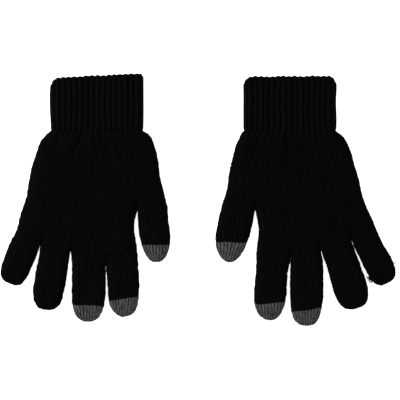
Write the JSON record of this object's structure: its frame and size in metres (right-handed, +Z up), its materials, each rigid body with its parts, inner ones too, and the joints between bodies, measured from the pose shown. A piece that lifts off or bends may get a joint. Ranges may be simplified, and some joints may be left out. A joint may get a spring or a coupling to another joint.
{
  "type": "touchscreen gloves",
  "caption": "Pair of knitted one-size gloves with ribbed cuffs and conductive fingertips for touchscreens, lying flat, palm side up.",
  "frame": {"origin": "centre of the pair's box, on the surface that the gloves lie on", "axes": "+Z up out of the palms, +Y from the fingertips to the cuffs, +X from the left glove to the right glove"},
  "size_m": [0.3288, 0.2124, 0.0139],
  "materials": {
    "black_knit": "matt knitted acrylic",
    "black_rib": "matt ribbed knit",
    "black_edge": "matt overlocked edge",
    "grey_conductive": "matt conductive knit",
    "elastic_yarn": "covered elastic yarn"
  },
  "bodies": {
    "left_hand": {"left_hand": "black_knit"},
    "left_cuff": {"left_cuff": "black_rib", "left_cuff_edge": "black_edge", "left_cuff_elastic": "elastic_yarn"},
    "left_thumb_base": {"left_thumb_base": "black_knit"},
    "left_thumb_tip": {"left_thumb_middle": "black_knit", "left_thumb_cap": "grey_conductive"},
    "left_index_base": {"left_index_base": "black_knit"},
    "left_index_tip": {"left_index_middle": "black_knit", "left_index_cap": "grey_conductive"},
    "left_middle_base": {"left_middle_base": "black_knit"},
    "left_middle_tip": {"left_middle_middle": "black_knit", "left_middle_cap": "grey_conductive"},
    "left_ring_base": {"left_ring_base": "black_knit"},
    "left_ring_tip": {"left_ring_middle": "black_knit", "left_ring_cap": "black_knit"},
    "left_little_base": {"left_little_base": "black_knit"},
    "left_little_tip": {"left_little_middle": "black_knit", "left_little_cap": "black_knit"},
    "right_hand": {"right_hand": "black_knit"},
    "right_cuff": {"right_cuff": "black_rib", "right_cuff_edge": "black_edge", "right_cuff_elastic": "elastic_yarn"},
    "right_thumb_base": {"right_thumb_base": "black_knit"},
    "right_thumb_tip": {"right_thumb_middle": "black_knit", "right_thumb_cap": "grey_conductive"},
    "right_index_base": {"right_index_base": "black_knit"},
    "right_index_tip": {"right_index_middle": "black_knit", "right_index_cap": "grey_conductive"},
    "right_middle_base": {"right_middle_base": "black_knit"},
    "right_middle_tip": {"right_middle_middle": "black_knit", "right_middle_cap": "grey_conductive"},
    "right_ring_base": {"right_ring_base": "black_knit"},
    "right_ring_tip": {"right_ring_middle": "black_knit", "right_ring_cap": "black_knit"},
    "right_little_base": {"right_little_base": "black_knit"},
    "right_little_tip": {"right_little_middle": "black_knit", "right_little_cap": "black_knit"}
  },
  "joints": [
    {"name": "pair_spacing", "type": "slide", "parent": "left_hand", "child": "right_hand", "axis": [1, 0, 0], "range_m": [-0.03, 0]},
    {"name": "left_wrist_bend", "type": "hinge", "parent": "left_hand", "child": "left_cuff", "pos_m": [-0.086, 0.0565, 0.013], "axis": [1, 0, 0], "range_deg": [0, 60]},
    {"name": "left_thumb_knuckle", "type": "hinge", "parent": "left_hand", "child": "left_thumb_base", "pos_m": [-0.0384, -0.0153, 0.011], "axis": [-0.9945, -0.1045, 0], "range_deg": [0, 60]},
    {"name": "left_thumb_joint", "type": "hinge", "parent": "left_thumb_base", "child": "left_thumb_tip", "pos_m": [-0.0366, -0.03241, 0.011], "axis": [-0.9945, -0.1045, 0], "range_deg": [0, 80]},
    {"name": "left_index_knuckle", "type": "hinge", "parent": "left_hand", "child": "left_index_base", "pos_m": [-0.0639, -0.0638, 0.011], "axis": [-0.9994, -0.0349, 0], "range_deg": [0, 90]},
    {"name": "left_index_joint", "type": "hinge", "parent": "left_index_base", "child": "left_index_tip", "pos_m": [-0.06333, -0.08021, 0.011], "axis": [-0.9994, -0.0349, 0], "range_deg": [0, 100]},
    {"name": "left_middle_knuckle", "type": "hinge", "parent": "left_hand", "child": "left_middle_base", "pos_m": [-0.0928, -0.0638, 0.011], "axis": [-0.9998, 0.0175, 0], "range_deg": [0, 90]},
    {"name": "left_middle_joint", "type": "hinge", "parent": "left_middle_base", "child": "left_middle_tip", "pos_m": [-0.09311, -0.08178, 0.011], "axis": [-0.9998, 0.0175, 0], "range_deg": [0, 100]},
    {"name": "left_ring_knuckle", "type": "hinge", "parent": "left_hand", "child": "left_ring_base", "pos_m": [-0.1226, -0.0502, 0.011], "axis": [-0.9863, 0.165, 0], "range_deg": [0, 90]},
    {"name": "left_ring_joint", "type": "hinge", "parent": "left_ring_base", "child": "left_ring_tip", "pos_m": [-0.1259, -0.06989, 0.011], "axis": [-0.9863, 0.165, 0], "range_deg": [0, 100]},
    {"name": "left_little_knuckle", "type": "hinge", "parent": "left_hand", "child": "left_little_base", "pos_m": [-0.1464, -0.0408, 0.011], "axis": [-0.9239, 0.3827, 0], "range_deg": [0, 90]},
    {"name": "left_little_joint", "type": "hinge", "parent": "left_little_base", "child": "left_little_tip", "pos_m": [-0.15216, -0.0547, 0.011], "axis": [-0.9239, 0.3827, 0], "range_deg": [0, 100]},
    {"name": "right_wrist_bend", "type": "hinge", "parent": "right_hand", "child": "right_cuff", "pos_m": [0.078, 0.0565, 0.013], "axis": [1, 0, 0], "range_deg": [0, 60]},
    {"name": "right_thumb_knuckle", "type": "hinge", "parent": "right_hand", "child": "right_thumb_base", "pos_m": [0.0336, -0.0141, 0.011], "axis": [-0.9863, 0.165, 0], "range_deg": [0, 60]},
    {"name": "right_thumb_joint", "type": "hinge", "parent": "right_thumb_base", "child": "right_thumb_tip", "pos_m": [0.03062, -0.03188, 0.011], "axis": [-0.9863, 0.165, 0], "range_deg": [0, 80]},
    {"name": "right_index_knuckle", "type": "hinge", "parent": "right_hand", "child": "right_index_base", "pos_m": [0.0633, -0.0604, 0.011], "axis": [-0.9986, 0.0523, 0], "range_deg": [0, 90]},
    {"name": "right_index_joint", "type": "hinge", "parent": "right_index_base", "child": "right_index_tip", "pos_m": [0.0623, -0.07956, 0.011], "axis": [-0.9986, 0.0523, 0], "range_deg": [0, 100]},
    {"name": "right_middle_knuckle", "type": "hinge", "parent": "right_hand", "child": "right_middle_base", "pos_m": [0.0922, -0.0604, 0.011], "axis": [-1, 0, 0], "range_deg": [0, 90]},
    {"name": "right_middle_joint", "type": "hinge", "parent": "right_middle_base", "child": "right_middle_tip", "pos_m": [0.0922, -0.08193, 0.011], "axis": [-1, 0, 0], "range_deg": [0, 100]},
    {"name": "right_ring_knuckle", "type": "hinge", "parent": "right_hand", "child": "right_ring_base", "pos_m": [0.1203, -0.0464, 0.011], "axis": [-0.9563, -0.2924, 0], "range_deg": [0, 90]},
    {"name": "right_ring_joint", "type": "hinge", "parent": "right_ring_base", "child": "right_ring_tip", "pos_m": [0.12676, -0.06752, 0.011], "axis": [-0.9563, -0.2924, 0], "range_deg": [0, 100]},
    {"name": "right_little_knuckle", "type": "hinge", "parent": "right_hand", "child": "right_little_base", "pos_m": [0.1438, -0.0356, 0.011], "axis": [-0.9026, -0.4305, 0], "range_deg": [0, 90]},
    {"name": "right_little_joint", "type": "hinge", "parent": "right_little_base", "child": "right_little_tip", "pos_m": [0.15138, -0.0515, 0.011], "axis": [-0.9026, -0.4305, 0], "range_deg": [0, 100]}
  ]
}
